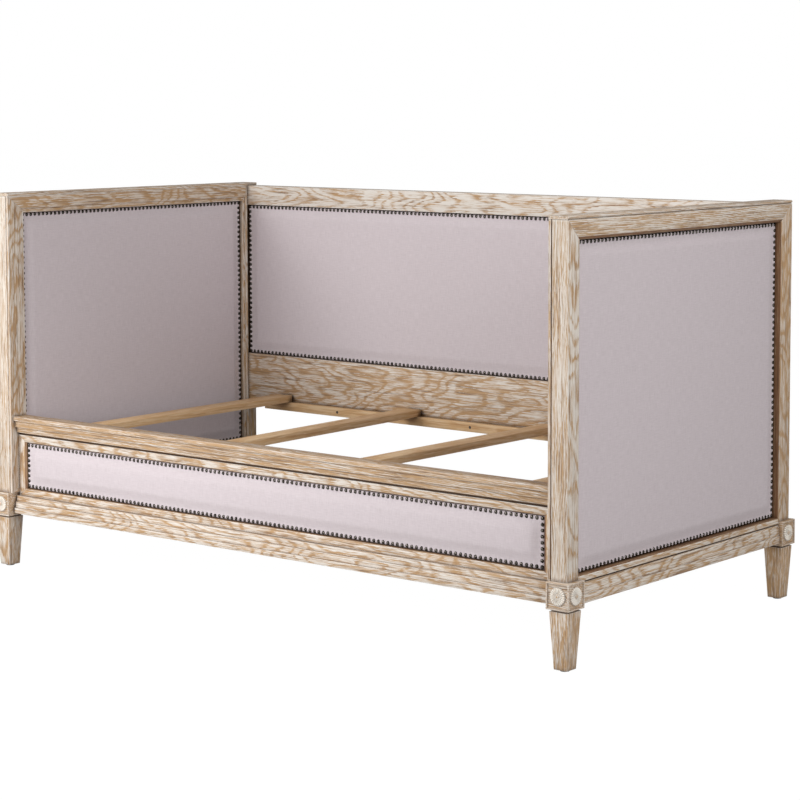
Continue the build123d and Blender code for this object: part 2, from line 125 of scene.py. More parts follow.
# figure of the timber: noises, long by wide, first in mm and then in widths of a fleck
TRUNK_BEND, TRUNK_SWAY, WAX_PATCH = (420, 110), (600, 150), (220, 35)
SHORT_FLECK, LONG_FLECK, STREAK, VEIN = (12, 1.0), (45, 1.3), (60, 2.2), (70, 1.1)
SHORT_SHARE, LONG_SHARE = 0.6, 0.75
PATCH_WEIGHT, STREAK_WEIGHT, FLECK_WEIGHT = 1.6, 2.6, 6.5
OFF_STREAKS = -0.5           # dark veins keep off the waxed streaks
COVER_REACH = 2.6            # how far the share of wax moves the middle of its span
TRUNK_WAVE = 0.05            # metres that one unit of noise moves the rings
PITH_LEAN = 0.06             # metres that the rings' middle leaves the board in a metre
RING_RAG = 1.3               # rings that one unit of fleck moves a ring's rim
# spans of a value: from low, from high, to low, to high
VEIN_SPAN = (-0.02, 0.22, 0.0, 0.9)
LATE_WOOD_SPAN = (0.25, 0.95, 0.22, -1.05)     # dense late wood takes up hardly any wax
WAX_HALF_SPAN = 1.12
LEAST_WAX, MOST_WAX = 0.04, 0.93
# brown of the painted shade in corners and recesses
PAINTED_SHADE_BROWN = "#4A3220"
CORNER_SPAN = (0.34, 0.84)
ARRIS_REACH = 0.004
ARRIS_SPAN = (0.55, 0.95, 0.45, 0.0)

YARN_PITCH = 0.0024
SLUBS = (38, 400)            # in a metre along a yarn and across it: 26 mm long, 2.5 mm wide
CROSSING_WEIGHT = 0.2        # relief of the weave itself beside that of the slubs
SLUB_SPAN = (0.2, 1.8, 0.0, 1.0)
# painted shade on the linen near the frame and the nails
CREVICE_SHADE_REACH = 0.011
CREVICE_SHADE_SPAN = (0.15, 0.62, 0.85, 0.0)
MOTTLE_MM = 2.5              # flow marks on the glides

FLOOR_HALF = 60.0
FLOOR_WHITE = 1.1            # a little over white, so that the floor's grey share is made up
FLOOR_GLOW = 0.9             # share of the floor's look that no shadow changes
SKY_LIGHT = 0.34

CAMERA_PLACE = (4.2037, -4.9739, 1.4123)
CAMERA_YAW = 38.039          # degrees, turned left from +Y
CAMERA_PITCH = -4.701
CAMERA_LENS = 102.15         # mm on a 36 mm sensor
CAMERA_SHIFT = (-0.0816, -0.15)
# lamp: place, point that it faces, width and height, watts
LAMPS = {
    "key": ((-2.6, -5.2, 3.6), (0, -0.2, 0.5), (3.0, 2.5), 165),
    "fill": ((5.5, -1.7, 2.1), (0.8, 0, 0.5), (2.4, 2.2), 130),
    "top": ((2.4, -0.4, 3.4), (0.9, 0, 0.5), (1.5, 1.5), 18),
    "front": ((-0.6, -2.4, 0.7), (0, -0.5, 0.35), (2.5, 0.8), 33),
}


# ---- small helpers ----
def colour(hex_code):
    """sRGB hex to linear RGBA."""
    parts = [int(hex_code[k:k + 2], 16) / 255 for k in (1, 3, 5)]
    return [p / 12.92 if p <= 0.04045 else ((p + 0.055) / 1.055) ** 2.4 for p in parts] + [1.0]


def add(tree, kind, inputs=(), **settings):
    """Adds a shader node; an input's value is a socket to link or a constant.

    Inputs come by name or number, or as a plain row in the node's own order.
    """
    made = tree.nodes.new("ShaderNode" + kind)
    for name, value in settings.items():
        setattr(made, name, value)
    named = inputs if isinstance(inputs, dict) else dict(enumerate(inputs))
    for name, value in named.items():
        if isinstance(value, bpy.types.NodeSocket):
            tree.links.new(value, made.inputs[name])
        else:
            made.inputs[name].default_value = value
    return made


def new_material(name):
    """Empty node material and its Principled shader."""
    material = bpy.data.materials.new(name)
    material.use_nodes = True
    tree = material.node_tree
    tree.nodes.clear()
    shader = add(tree, "BsdfPrincipled")
    add(tree, "OutputMaterial", {"Surface": shader.outputs[0]})
    return material, tree, shader


def finish_piece(piece, slot, body, material=None, smooth_angle=35):
    """Gives a piece its material, its slot's finish unless one is given, its smoothing and its
    body.
    """
    mesh = piece.data
    mesh.materials.clear()
    mesh.materials.append(material or finishes[slot])
    mesh.polygons.foreach_set("use_smooth", [True] * len(mesh.polygons))
    mesh.set_sharp_from_angle(angle=math.radians(smooth_angle))
    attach(piece, body)


def new_piece(name, points, faces):
    """Object from an array of points and an array or list of faces."""
    mesh = bpy.data.meshes.new(name)
    mesh.from_pydata(points.tolist(), [], [list(f) for f in faces])
    mesh.update()
    piece = bpy.data.objects.new(name, mesh)
    bpy.context.scene.collection.objects.link(piece)
    return piece


def grid_faces(rows, columns, wrap=False):
    """Quads of a grid whose points run row by row; wrap closes each row on itself."""
    r = np.arange(rows - 1)[:, None] * columns
    c = np.arange(columns if wrap else columns - 1)[None, :]
    n = (c + 1) % columns
    return np.stack([r + c, r + n, r + columns + n, r + columns + c], -1).reshape(-1, 4)


def smoothstep(x):
    """Rise from 0 to 1 with level ends: three x squared less two x cubed."""
    x = np.clip(x, 0, 1)
    return x * x * (3 - 2 * x)


# ---- materials ----
def wood(name, tan, umber, lime, cover, ring_mm, fleck_mm, rough, relief_mm, painted_corner_shade=0.0,
         corner_mm=16):
    """Sawn timber from the piece's own grain coordinate (along, across, depth) in metres.

    Rings are cylinders round a leaning pith, so wide faces show cathedral figure and
    narrow ones straight lines; their rims are ragged. White wax (lime) lies in the open
    early wood and in short flecks. cover is about the share it hides, more or less by the
    board's own attribute wax_and_shade, which on some boards is lowered as painted shade.
    painted_corner_shade is how dark the painted shade is that ambient occlusion puts in
    corners and recesses, while arrises show paler: partly worn wax, partly a painted highlight.
    """
    material, tree, shader = new_material(name)
    grain = add(tree, "Attribute", attribute_name="grain").outputs["Vector"]
    dose = add(tree, "Attribute", attribute_name="wax_and_shade").outputs["Fac"]

    def drawn_out(shape, unit_mm=1.0, detail=2.0):
        """Noise stretched along the grain, less its middle value."""
        lengthwise, crosswise = (1000 / (size * unit_mm) for size in shape)
        scale = lengthwise, crosswise, crosswise
        at = add(tree, "Mapping", {"Vector": grain, "Scale": scale}).outputs[0]
        noise = add(tree, "TexNoise", {"Vector": at, "Scale": 1.0, "Detail": detail,
                                       "Roughness": 0.6}).outputs[0]
        return add(tree, "Math", (noise, 0.5), operation="SUBTRACT").outputs[0]

    def total(value, *patterns):
        """A value and some patterns added up, each pattern times its weight."""
        for pattern, weight in patterns:
            value = add(tree, "Math", (pattern, weight, value),
                        operation="MULTIPLY_ADD").outputs[0]
        return value

    along, across, deep = add(tree, "SeparateXYZ", (grain,)).outputs
    lean = total(deep, (drawn_out(TRUNK_BEND), TRUNK_WAVE), (along, PITH_LEAN))
    side = total(across, (drawn_out(TRUNK_SWAY), TRUNK_WAVE))
    section = add(tree, "CombineXYZ", {1: side, 2: lean}).outputs[0]
    radius = add(tree, "VectorMath", (section,), operation="LENGTH").outputs["Value"]
    flecks = total(0.0, (drawn_out(LONG_FLECK, fleck_mm), LONG_SHARE),
                   (drawn_out(SHORT_FLECK, fleck_mm, 3.0), SHORT_SHARE))
    radius = total(radius, (flecks, RING_RAG * ring_mm / 1000))
    turns = add(tree, "Math", (radius, 2000 * math.pi / ring_mm), operation="MULTIPLY")
    rings = add(tree, "Math", (turns.outputs[0],), operation="SINE").outputs[0]
    streaks = drawn_out(STREAK, fleck_mm)
    veins = total(0.0, (streaks, OFF_STREAKS), (drawn_out(VEIN, fleck_mm), 1.0))

    brown = add(tree, "MapRange", (veins, *VEIN_SPAN), interpolation_type="SMOOTHSTEP")
    surface = add(tree, "Mix", {0: brown.outputs[0], 6: colour(tan), 7: colour(umber)},
                  data_type="RGBA").outputs[2]
    late = add(tree, "MapRange", (rings, *LATE_WOOD_SPAN), interpolation_type="SMOOTHSTEP")
    late = add(tree, "Math", (late.outputs[0], dose), operation="ADD").outputs[0]
    wax_and_shade = total(late, (drawn_out(WAX_PATCH), PATCH_WEIGHT), (streaks, STREAK_WEIGHT),
                (flecks, FLECK_WEIGHT))
    middle = COVER_REACH * (0.5 - cover)
    wax_and_shade = add(tree, "MapRange", (wax_and_shade, middle - WAX_HALF_SPAN, middle + WAX_HALF_SPAN,
                                 LEAST_WAX, MOST_WAX), interpolation_type="SMOOTHSTEP")
    surface = add(tree, "Mix", {0: wax_and_shade.outputs[0], 6: surface, 7: colour(lime)},
                  data_type="RGBA").outputs[2]
    if painted_corner_shade:
        # painted shade: ambient occlusion mixes a brown into corners and recesses
        corner = add(tree, "AmbientOcclusion", {"Distance": corner_mm / 1000}, samples=6)
        corner = add(tree, "MapRange", (corner.outputs["AO"], *CORNER_SPAN, painted_corner_shade, 0.0))
        surface = add(tree, "Mix", {0: corner.outputs[0], 6: surface, 7: colour(PAINTED_SHADE_BROWN)},
                      data_type="RGBA").outputs[2]
        # paler arrises: partly worn wax, partly a painted highlight where the edges catch the
        # light
        arris = add(tree, "AmbientOcclusion", {"Distance": ARRIS_REACH}, samples=4, inside=True)
        arris = add(tree, "MapRange", (arris.outputs["AO"], *ARRIS_SPAN))
        surface = add(tree, "Mix", {0: arris.outputs[0], 6: surface, 7: colour(lime)},
                      data_type="RGBA").outputs[2]
    tree.links.new(surface, shader.inputs["Base Color"])
    shader.inputs["Roughness"].default_value = rough
    shader.inputs["Specular IOR Level"].default_value = 0.3
    bump = add(tree, "Bump", {"Height": total(streaks, (flecks, 1.0)), "Strength": 0.7,
                              "Distance": relief_mm / 1000})
    tree.links.new(bump.outputs[0], shader.inputs["Normal"])
    return material


def linen():
    """Lavender-grey linen, plain weave of slubbed yarn, laid flat over padding.

    Two sets of yarns cross at right angles in the piece's own UV, which is in metres.
    Real yarns lie about 0.6 mm apart; they are drawn at 2.4 mm so that they show.
    """
    material, tree, shader = new_material("slubbed linen")
    place = add(tree, "UVMap", uv_map="weave").outputs[0]
    part = add(tree, "SeparateXYZ", (place,))
    slubs, waves = [], []
    for scale, across in (((*SLUBS, 1), 0), ((*SLUBS[::-1], 1), 1)):
        at = add(tree, "Mapping", {"Vector": place, "Scale": scale}).outputs[0]
        slub = add(tree, "TexNoise", {"Vector": at, "Scale": 1.0, "Detail": 1.0},
                   noise_dimensions="2D")
        slubs.append(slub.outputs[0])
        turns = add(tree, "Math", (part.outputs[across], 2 * math.pi / YARN_PITCH),
                    operation="MULTIPLY")
        waves.append(add(tree, "Math", (turns.outputs[0],), operation="SINE").outputs[0])
    crossing = add(tree, "Math", waves, operation="MULTIPLY").outputs[0]
    slub = add(tree, "Math", slubs, operation="ADD").outputs[0]
    relief = add(tree, "Math", (crossing, CROSSING_WEIGHT, slub),
                 operation="MULTIPLY_ADD").outputs[0]
    tone = add(tree, "MapRange", (relief, *SLUB_SPAN)).outputs[0]
    shade = add(tree, "Mix", {0: tone, 6: colour("#BEB3B6"), 7: colour("#D2C8CB")},
                data_type="RGBA")
    # painted shade: ambient occlusion darkens the linen near the frame and the nails
    crevice_shade = add(tree, "AmbientOcclusion", {"Distance": CREVICE_SHADE_REACH}, samples=6)
    crevice_shade = add(tree, "MapRange", (crevice_shade.outputs["AO"], *CREVICE_SHADE_SPAN)).outputs[0]
    shade = add(tree, "Mix", {0: crevice_shade, 6: shade.outputs[2], 7: colour("#5A4E4B")},
                data_type="RGBA")
    tree.links.new(shade.outputs[2], shader.inputs["Base Color"])
    shader.inputs["Roughness"].default_value = 0.95
    shader.inputs["Specular IOR Level"].default_value = 0.15
    shader.inputs["Sheen Weight"].default_value = 0.08
    shader.inputs["Sheen Roughness"].default_value = 0.5
    bump = add(tree, "Bump", {"Height": relief, "Strength": 0.3, "Distance": 0.0004})
    tree.links.new(bump.outputs[0], shader.inputs["Normal"])
    return material


def aged_metal(name, dark, light, rough, grit_mm):
    """Metal with an uneven patina: two tones and a roughness that vary by a fine noise."""
    material, tree, shader = new_material(name)
    place = add(tree, "TexCoord").outputs["Object"]
    patina = add(tree, "TexNoise", {"Vector": place, "Scale": 1000 / grit_mm,
                                    "Detail": 3.0}).outputs[0]
    tone = add(tree, "MapRange", (patina, 0.4, 0.65, 0.0, 1.0)).outputs[0]
    mixed = add(tree, "Mix", {0: tone, 6: colour(dark), 7: colour(light)}, data_type="RGBA")
    tree.links.new(mixed.outputs[2], shader.inputs["Base Color"])
    shader.inputs["Metallic"].default_value = 1.0
    worn = add(tree, "MapRange", (patina, 0.3, 0.7, rough + 0.12, rough - 0.08))
    tree.links.new(worn.outputs[0], shader.inputs["Roughness"])
    return material


def nylon():
    """Moulded nylon glide: dull, with a faint mottling."""
    material, tree, shader = new_material("moulded nylon")
    place = add(tree, "TexCoord").outputs["Object"]
    mottle = add(tree, "TexNoise", {"Vector": place, "Scale": 1000 / MOTTLE_MM}).outputs[0]
    mixed = add(tree, "Mix", {0: mottle, 6: colour("#2B2724"), 7: colour("#3A3531")},
                data_type="RGBA")
    tree.links.new(mixed.outputs[2], shader.inputs["Base Color"])
    shader.inputs["Roughness"].default_value = 0.5
    return material


finishes = {
    # brushed oak with white wax in its open grain: cream over tan, matt
    "limed_oak": wood("cerused oak", "#B28D62", "#725843", "#DDD7CF", cover=0.475, ring_mm=5.0,
                      fleck_mm=2.1, rough=0.62, relief_mm=0.3, painted_corner_shade=0.9),
    # planed softwood: warm, soft wide rings, hardly any filler
    "plain_pine": wood("planed pine", "#CDA679", "#AE8153", "#DDBF98", cover=0.42, ring_mm=13,
                       fleck_mm=4.0, rough=0.55, relief_mm=0.1, painted_corner_shade=0.9, corner_mm=34),
    # birch plywood behind the pads, stained brown
    "core_board": wood("birch plywood", "#8E6C4A", "#6B4E34", "#A58660", cover=0.4, ring_mm=15,
                       fleck_mm=4.0, rough=0.6, relief_mm=0.1, painted_corner_shade=0.9),
    # pale, close-grained rods inside the joints
    "beech_dowels": wood("turned beech", "#C9A377", "#B48A5F", "#D0AC80", cover=0.4, ring_mm=6,
                         fleck_mm=2.0, rough=0.5, relief_mm=0.1),
    "linen": linen(),
    # domed tacks in antiqued bronze: near black, rubbed to grey-brown in patches
    "bronze_nails": aged_metal("antiqued bronze", "#1F1C1A", "#66605A", rough=0.24, grit_mm=3.0),
    # plated screws and bolts, dulled grey
    "steel_fasteners": aged_metal("blackened zinc plate", "#3A3632", "#6A645C", rough=0.45,
                                  grit_mm=4.0),
    "glides": nylon(),
}
# the same oak where a rosette's petals took more of the wax
carved_oak = wood("cerused carved oak", "#CDB08A", "#A58663", "#F0EBE2", cover=0.85, ring_mm=8,
                  fleck_mm=3.0, rough=0.62, relief_mm=0.3, painted_corner_shade=0.7, corner_mm=4)
# the button in a rosette's middle, where the carver's wax was wiped off
boss_oak = wood("wiped oak", "#B98F5F", "#8F6B45", "#C9AE8A", cover=0.2, ring_mm=8, fleck_mm=3.0,
                rough=0.62, relief_mm=0.3, painted_corner_shade=0.5, corner_mm=4)
# and the edges beside the fabric: brown stain put on before the wax and hardly waxed, and
# painted shade in the reveals and on faces turned from the light
stain_and_shade_oak = wood("brown oak: stain and painted shade", "#7A5539", "#4E3524", "#A58A6C", cover=0.25, ring_mm=8,
                   fleck_mm=3.0, rough=0.6, relief_mm=0.3, painted_corner_shade=0.6)


# ---- joinery ----
def solids_of(mesh):
    """Points and triangles of each solid in a node's mesh of loose triangles.

    The triangles come solid by solid, so one ends where every edge so far has its partner.
    """
    points = np.empty(len(mesh.vertices) * 3, np.float32)
    mesh.vertices.foreach_get("co", points)
    points = points.reshape(-1, 3)
    mesh.calc_loop_triangles()
    triangles = np.empty(len(mesh.loop_triangles) * 3, np.int32)
    mesh.loop_triangles.foreach_get("vertices", triangles)
    steps = np.round(points * STEPS_PER_METRE).astype(np.int64)
    _, first, same = np.unique(steps, axis=0, return_index=True, return_inverse=True)
    triangles = same.reshape(-1)[triangles].reshape(-1, 3)
    unmatched, ends = {}, [0]
    for number, (a, b, c) in enumerate(triangles.tolist()):
        for edge in ((a, b), (b, c), (c, a)):
            partner = edge[::-1]
            if unmatched.get(partner):
                unmatched[partner] -= 1
                if not unmatched[partner]:
                    del unmatched[partner]
            else:
                unmatched[edge] = unmatched.get(edge, 0) + 1
        if not unmatched:
            ends.append(number + 1)
    if ends[-1] != len(triangles):
        ends.append(len(triangles))
    for start, end in zip(ends, ends[1:]):
        mine, corners = np.unique(triangles[start:end], return_inverse=True)
        yield points[first[mine]], corners.reshape(-1, 3)


def grain_of(points, board, dice):
    """Grain coordinate (along, across, depth) from a board's own axes, longest first.

    Each board gets its own place in the tree, so no two show the same figure.
    """
    order = np.argsort(-np.ptp(board, axis=0), kind="stable")
    pith = np.array([dice.uniform(0, 9), dice.uniform(-0.05, 0.05), dice.uniform(0.03, 0.12)])
    return (points - (board.min(0) + board.max(0)) / 2)[:, order] + pith


def write_grain(mesh, grain, wax_and_shade):
    """Point attributes: where each point lies in its board, and its wax, lowered where painted
    shade darkens it.
    """
    attribute = mesh.attributes.new("grain", "FLOAT_VECTOR", "POINT")
    attribute.data.foreach_set("vector", np.asarray(grain, np.float32).ravel())
    attribute = mesh.attributes.new("wax_and_shade", "FLOAT", "POINT")
    attribute.data.foreach_set("value", np.broadcast_to(wax_and_shade, len(grain)).astype(np.float32))


def planed(shape, arris, inward, outward, width, depth):
    """Takes a sloping strip off an arris, and marks the new face for the brown of stain and
    painted shade.

    The strip is width across the face that looks outward and depth down the face that
    looks inward, to the panel's opening. A board that reaches past the arris keeps it.
    """
    reach = max((v.co - arris).dot(inward) for v in shape.verts)
    proud = max((v.co - arris).dot(outward) for v in shape.verts)
    if reach > SNAP or abs(proud) > SNAP:
        return
    whole = shape.verts[:] + shape.edges[:] + shape.faces[:]
    cut = bmesh.ops.bisect_plane(shape, geom=whole, dist=1e-6, plane_co=arris - width * inward,
                                 plane_no=depth * inward + width * outward, clear_outer=True)
    rim = [e for e in cut["geom_cut"] if isinstance(e, bmesh.types.BMEdge)]
    for face in bmesh.ops.edgeloop_fill(shape, edges=rim)["faces"]:
        face.material_index = 1
    bmesh.ops.recalc_face_normals(shape, faces=shape.faces)


def rounded(points, triangles, strips):
    """A solid's points, faces and stain-and-shade marks after its edges are planed and sanded
    round.
    """
    rough = bpy.data.meshes.new("rough")
    rough.from_pydata(points.tolist(), [], triangles.tolist())
    shape = bmesh.new()
    shape.from_mesh(rough)
    bmesh.ops.dissolve_limit(shape, angle_limit=FLAT, verts=shape.verts, edges=shape.edges)
    for strip in strips:
        planed(shape, *strip)
    arrises = [e for e in shape.edges if e.is_manifold and e.calc_length() > LEAST_ARRIS
               and e.calc_face_angle(0) > LEAST_TURN]
    bmesh.ops.bevel(shape, geom=arrises, offset=EDGE_ROUND, segments=2, profile=0.5,
                    affect="EDGES", clamp_overlap=True)
    bmesh.ops.triangulate(shape, faces=[f for f in shape.faces if len(f.verts) > 4])
    shape.to_mesh(rough)
    shape.free()
    done = np.empty(len(rough.vertices) * 3, np.float32)
    rough.vertices.foreach_get("co", done)
    done = done.reshape(-1, 3).astype(float)
    faces = [tuple(p.vertices) for p in rough.polygons]
    marks = np.array([p.material_index for p in rough.polygons])
    bpy.data.meshes.remove(rough)
    return done, faces, marks


def joinery(node, seed, beside, strips):
    """A wooden CAD node, board by board; its faces along a pad's outline get the brown of stain
    and painted shade.
    """
    dice = np.random.default_rng(seed)
    points, grain, wax_and_shade, faces, marks = [], [], [], [], []
    for board, triangles in solids_of(nodes[node].data):
        shaped, shaped_faces, stain_and_shade_faces = rounded(board, triangles, strips)
        step = sum(len(p) for p in points)
        points.append(shaped)
        grain.append(grain_of(shaped, board, dice))
        wax_and_shade.append(np.full(len(shaped), dice.uniform(-WAX_SPREAD, WAX_SPREAD)))
        faces += [[corner + step for corner in face] for face in shaped_faces]
        marks.append(stain_and_shade_faces)
    points, marks = np.concatenate(points), np.concatenate(marks)
    piece = new_piece(node + "_shaped", points, faces)
    extra = sum(dose for part, dose in extra_wax_and_shade.items() if part in node)
    write_grain(piece.data, np.concatenate(grain), np.concatenate(wax_and_shade) + extra)
    finish_piece(piece, slot_of_node[node], body_of_node[node])
    piece.data.materials.append(stain_and_shade_oak)
    if beside:
        low, high = (np.array(c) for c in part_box(beside))
        thin = int(np.argmin(high - low))
        plane = [k for k in range(3) if k != thin]
        middles = np.array([points[list(face)].mean(0) for face in faces])
        out = np.maximum(low - middles, middles - high)
        near = (np.abs(out[:, plane].max(1)) < STAIN_AND_SHADE_REACH) & (out[:, thin] < STAIN_AND_SHADE_DEPTH)
        marks = np.maximum(marks, near)
    piece.data.polygons.foreach_set("material_index", marks.astype(np.int32))
    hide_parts(node)


def opening_strips(pad, outward, face, sides):
    """Arrises round a pad's opening, for planed: sides are rows of inward axis, width, depth."""
    low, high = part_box(pad)
    strips = []
    for inward, width, depth in sides:
        inward = Vector(inward)
        corner = Vector([low[k] - PAD_GAP if inward[k] > 0 else high[k] + PAD_GAP
                         for k in range(3)])
        on_face = Vector([face[k] if outward[k] else corner[k] for k in range(3)])
        strips.append((on_face, inward, Vector(outward), width, depth))
    return strips


# boards paler or darker than the rest by wax; on the rear legs and posts less wax is painted
# shade
extra_wax_and_shade = {"front_post": 0.5, "corner_block": -0.35, "back_top_rail": 0.5, "front_base": 0.3,
            "front_cap": -0.4, "inner_frame": -0.2, "rear_leg": -0.8, "rear_post": -0.3}
# pads whose outline gives the brown of stain and painted shade to the faces beside it
stain_and_shade_beside = {"front_frame": "front_pad"}
strips_of = {"front_frame": opening_strips(
    "front_pad", (0, -1, 0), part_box("front_frame")[0],
    [((1, 0, 0), *FRONT_STRIP), ((-1, 0, 0), *FRONT_STRIP), ((0, 0, -1), *FRONT_TOP_STRIP)])}
for side, sign in (("left", -1), ("right", 1)):
    pad = side + "_arm_outer_pad"
    post_low, post_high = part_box(side + "_arm_front_post")
    outer_face = post_low if sign < 0 else post_high
    strips = opening_strips(pad, (sign, 0, 0), outer_face,
                            [((0, 1, 0), *ARM_STRIP), ((0, 0, -1), *ARM_TOP_STRIP)])
    for member in ("front_post", "rear_post", "top_rail", "bottom_rail"):
        stain_and_shade_beside[f"{side}_arm_{member}"] = pad
        strips_of[f"{side}_arm_{member}"] = list(strips)
    inner_face = post_high if sign < 0 else post_low
    seam = Vector((inner_face.x, post_low.y, 0))
    inwards, forwards = Vector((-sign, 0, 0)), Vector((0, -1, 0))
    strips_of[side + "_arm_front_post"].append((seam, inwards, forwards, *POST_SEAM))
    strips_of[side + "_arm_inner_frame"] = [(seam, -inwards, forwards, *FRAME_SEAM)]
wooden = ("limed_oak", "plain_pine", "core_board", "beech_dowels")
for number, node in enumerate(sorted(nodes)):
    if slot_of_node[node] in wooden:
        joinery(node, number, stain_and_shade_beside.get(node), strips_of.get(node, []))
    elif slot_of_node[node] in ("steel_fasteners", "glides"):
        nodes[node].data.materials.clear()
        nodes[node].data.materials.append(finishes[slot_of_node[node]])


# ---- upholstery ----
class Panel:
    """Axes of an upholstered panel: u and v in its plane, n outwards."""

    def __init__(self, pad_node, nail_node, normal):
        low, high = (np.array(c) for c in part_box(pad_node))
        self.n = np.array(normal, float)
        self.v = np.array((0.0, 0.0, 1.0))
        self.u = np.cross(self.v, self.n)
        base = np.where(self.n > 0, low, high)
        nail_low, nail_high = (np.array(c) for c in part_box(nail_node))
        outer = np.where(self.n > 0, nail_high, nail_low)
        self.corner = np.where(self.n != 0, base, np.where(self.u < 0, high, low))
        self.width = float(abs((high - low) @ self.u))
        self.height = float((high - low) @ self.v)
        self.border = float((outer - base) @ self.n) - NAIL_DOME
        self.crown = float(abs((high - low) @ self.n))

    def at(self, u, v, h):
        """Points in the shared frame from panel coordinates: along u, along v, out along n."""
        shape = np.stack(np.broadcast_arrays(u, v, h), -1)
        return self.corner + shape @ np.stack([self.u, self.v, self.n])


def swelling(width, height):
    """Height field, 0 to 1, of a cloth sheet held along its edge and pushed out by padding.

    A Cloth simulation under pressure gives its shape, which SWELL then scales to a height.
    The quick form is a root of sine by sine.
    """
    columns = max(int(width / SIM_GRID), 8)
    rows = max(int(height / SIM_GRID), 8)
    u, v = np.meshgrid(np.linspace(0, 1, columns), np.linspace(0, 1, rows))
    points = np.stack([u * width, v * height, 0 * u], -1).reshape(-1, 3)
    sheet = new_piece("sheet_under_test", points, grid_faces(rows, columns))
    edge = np.flatnonzero(((u == 0) | (u == 1) | (v == 0) | (v == 1)).ravel())
    sheet.vertex_groups.new(name="nailed").add(edge.tolist(), 1.0, "REPLACE")
    cloth = sheet.modifiers.new("Cloth", "CLOTH")
    for name, value in CLOTH.items():
        setattr(cloth.settings, name, value)
    cloth.settings.effector_weights.gravity = 0
    cloth.settings.vertex_group_mass = "nailed"
    cloth.point_cache.frame_end = SIM_FRAMES
    for step in range(1, SIM_FRAMES + 1):
        bpy.context.scene.frame_set(step)
    settled = sheet.evaluated_get(bpy.context.evaluated_depsgraph_get())
    risen = np.empty(len(points) * 3, np.float32)
    settled.data.vertices.foreach_get("co", risen)
    risen = np.abs(risen.reshape(rows, columns, 3)[..., 2])
    bpy.data.objects.remove(sheet)
    bpy.context.scene.frame_set(1)
    if risen.max() < LEAST_RISE:
        print("cloth sheet did not rise, so this panel stays flat:", width, height)
        return 0 * risen
    return risen / risen.max()


def resampled(field, u, v):
    """Field read between its points by straight lines in u and in v, each from 0 to 1."""
    rows, columns = field.shape
    x, y = u * (columns - 1), v * (rows - 1)
    i = np.minimum(x.astype(int), columns - 2)
    j = np.minimum(y.astype(int), rows - 2)
    a, b = x - i, y - j
    return ((1 - a) * (1 - b) * field[j, i] + a * (1 - b) * field[j, i + 1]
            + (1 - a) * b * field[j + 1, i] + a * b * field[j + 1, i + 1])


def upholstered(name, node, panel):
    """Closed pad: nailed border, rise to a padded field, dips at the nails, flat back.

    Height = border x round edge + rise x smoothstep in u x smoothstep in v + the cloth's
    swelling - a dip at each nail that fades as a bell curve away from the nail line.
    """
    across = max(int(panel.width / PAD_GRID), 8)
    up = max(int(panel.height / PAD_GRID), 8)
    u, v = np.meshgrid(np.linspace(0, panel.width, across), np.linspace(0, panel.height, up))
    to_u = np.minimum(u, panel.width - u)
    to_v = np.minimum(v, panel.height - v)
    rim = np.minimum(to_u, to_v)
    turn = np.sqrt(np.clip(1 - (1 - np.clip(rim / PAD_EDGE, 0, 1)) ** 2, 0, 1))
    rise = (smoothstep((to_u - RISE_START) / PAD_SLOPE)
            * smoothstep((to_v - RISE_START) / PAD_SLOPE))
    field = swelling(panel.width, panel.height)
    swell = resampled(field, u / panel.width, v / panel.height)
    dips = 0
    for along, off, length in ((u, to_v, panel.width), (v, to_u, panel.height)):
        run = length - 2 * NAIL_INSET
        pitch = run / max(round(run / NAIL_PITCH), 1)
        bell = np.exp(-((off - NAIL_INSET) / PUCKER_REACH) ** 2)
        dips = dips + bell * np.cos(2 * np.pi * (along - NAIL_INSET) / pitch)
    border = panel.border * (EDGE_SHARE + (1 - EDGE_SHARE) * turn)
    height = border + (panel.crown - panel.border) * rise
    height = height + SWELL * swell * rise - PUCKER * dips * turn
    front_points = panel.at(u, v, height).reshape(-1, 3)
    ring = np.concatenate([np.arange(across), np.arange(1, up) * across + across - 1,
                           (up - 1) * across + np.arange(across - 2, -1, -1),
                           np.arange(up - 2, 0, -1) * across])
    skirt = panel.at(u.ravel()[ring], v.ravel()[ring], 0 * ring)
    middle = panel.at(panel.width / 2, panel.height / 2, 0.0)[None]
    points = np.concatenate([front_points, skirt, middle])
    first = across * up
    here = np.arange(len(ring))
    after = np.roll(here, -1)
    walls = np.stack([ring[after], ring[here], first + here, first + after], -1)
    hub = np.full(len(ring), len(points) - 1)
    under = np.stack([first + after, first + here, hub], -1)
    faces = grid_faces(up, across).tolist() + walls.tolist() + under.tolist()
    piece = new_piece(name, points, faces)
    weave = piece.data.uv_layers.new(name="weave")
    corners = np.empty(len(piece.data.loops), np.int32)
    piece.data.loops.foreach_get("vertex_index", corners)
    flat = np.stack([(points - panel.corner) @ panel.u, (points - panel.corner) @ panel.v], -1)
    weave.data.foreach_set("uv", flat[corners].ravel())
    finish_piece(piece, "linen", body_of_node[node], smooth_angle=60)
    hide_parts(node)


